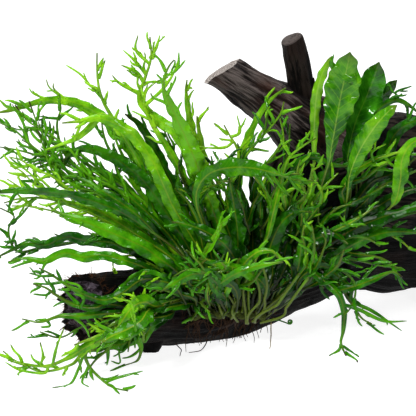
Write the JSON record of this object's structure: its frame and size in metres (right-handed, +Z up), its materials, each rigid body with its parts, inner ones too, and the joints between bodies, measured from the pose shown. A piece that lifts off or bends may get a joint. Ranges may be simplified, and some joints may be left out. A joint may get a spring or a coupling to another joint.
{
  "type": "java fern on driftwood",
  "caption": "Laced java fern, its strap leaves ending in forked tips, with some broad plain leaves, grown on forked dark driftwood with a sawn limb and a stub.",
  "frame": {"origin": "on the flat patch under the lower limb that the wood stands on, below the middle of the plant", "axes": "+X to the right along the longest extent, with the lacy left fan at -X, +Y away from the viewer, +Z up"},
  "size_m": [0.4219, 0.2508, 0.2651],
  "materials": {
    "driftwood": "dark, rough, weathered",
    "rhizome": "matt, slightly mossy",
    "fiddlehead": "satin",
    "root": "matt, fibrous",
    "leaf_bright": "wet gloss",
    "leaf_mid": "wet gloss",
    "leaf_deep": "wet gloss"
  },
  "bodies": {
    "root": {"trunk": "driftwood", "lower_limb": "driftwood", "upper_limb": "driftwood", "peg": "driftwood", "rhizome_main": "rhizome", "rhizome_left": "rhizome", "rhizome_right": "rhizome", "fiddlehead": "fiddlehead", "root_forked": "root", "root_long": "root", "root_pale": "root", "bright_arching_leaf": "leaf_bright", "dark_arching_leaf": "leaf_mid", "forked_thin_leaf": "leaf_bright", "lace_crown_leaf": "leaf_mid", "red_rib_leaf": "leaf_mid", "yellow_pointed_leaf": "leaf_bright", "dark_wavy_leaf": "leaf_deep", "small_curved_leaf": "leaf_mid", "lacy_frond_1": "leaf_mid", "lacy_frond_2": "leaf_mid", "lacy_frond_3": "leaf_bright", "lacy_frond_4": "leaf_mid", "dark_left_leaf": "leaf_deep", "long_left_leaf": "leaf_mid", "wavy_pair_upper": "leaf_deep", "wavy_pair_lower": "leaf_mid", "over_log_frond": "leaf_mid", "low_left_frond": "leaf_mid", "sweeping_frond": "leaf_bright", "front_fork_frond": "leaf_mid", "hooked_frond": "leaf_mid", "broad_low_leaf": "leaf_bright", "dull_arched_leaf": "leaf_mid", "lobed_front_leaf": "leaf_bright", "upright_leaf_1": "leaf_mid", "yellow_rib_leaf": "leaf_bright", "lace_star_frond": "leaf_bright", "light_upright_leaf": "leaf_bright", "finger_frond": "leaf_bright", "dark_hooked_leaf": "leaf_deep", "middle_lobed_leaf": "leaf_mid", "broad_leaf_front": "leaf_deep", "broad_leaf_middle": "leaf_deep", "broad_leaf_rear": "leaf_deep", "broad_leaf_light": "leaf_bright", "arched_dark_leaf": "leaf_deep", "edge_dark_leaf": "leaf_deep", "edge_yellow_leaf": "leaf_bright", "long_right_leaf_1": "leaf_mid", "long_right_leaf_2": "leaf_deep", "long_right_leaf_3": "leaf_mid", "spiky_leaf": "leaf_bright", "level_laced_frond": "leaf_bright", "hanging_frond": "leaf_mid", "right_curled_frond": "leaf_mid", "finger_cluster": "leaf_deep", "rear_leaf_1": "leaf_deep", "rear_leaf_2": "leaf_mid", "rear_leaf_3": "leaf_mid"}
  },
  "joints": []
}
